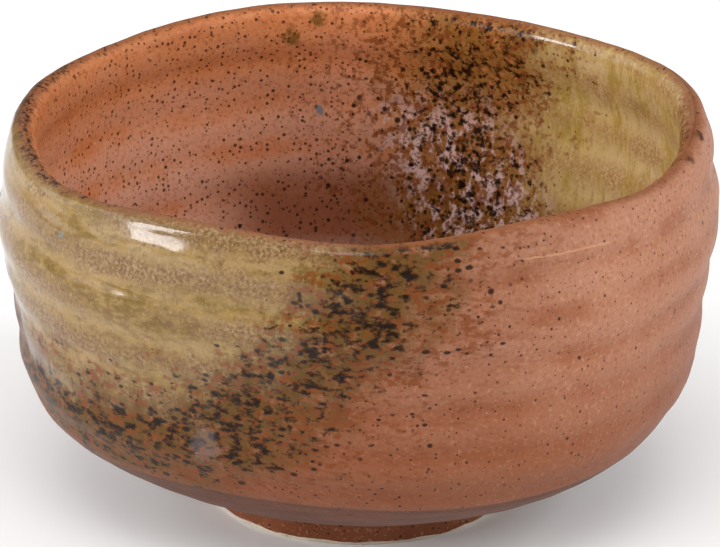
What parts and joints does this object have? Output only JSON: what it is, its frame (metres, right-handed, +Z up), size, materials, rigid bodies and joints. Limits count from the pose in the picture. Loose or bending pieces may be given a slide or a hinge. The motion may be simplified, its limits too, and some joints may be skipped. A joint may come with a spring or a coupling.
{
  "type": "matcha bowl",
  "caption": "Hand-thrown stoneware tea bowl with a gently waving lip, a luted foot ring, red iron glaze and an olive ash glaze sprayed over one side.",
  "frame": {"origin": "centre of the bowl, on the surface that its foot ring stands on", "axes": "+Z up along the bowl's axis, out of its mouth; -Y towards the front, where the sprayed ash glaze ends; -X towards the side that the outer ash glaze covers"},
  "size_m": [0.1276, 0.1246, 0.0722],
  "materials": {
    "clay": "matt, unglazed",
    "iron_glaze": "satin red iron glaze with fine dark specks",
    "ash_glaze": "glossy mottled olive ash glaze"
  },
  "bodies": {
    "root": {"bowl_body": "clay", "foot_ring": "clay", "outer_base_glaze": "iron_glaze", "inner_base_glaze": "iron_glaze", "foot_glaze": "iron_glaze", "recess_glaze": "iron_glaze", "outer_ash_glaze": "ash_glaze", "inner_ash_glaze": "ash_glaze"}
  },
  "joints": []
}
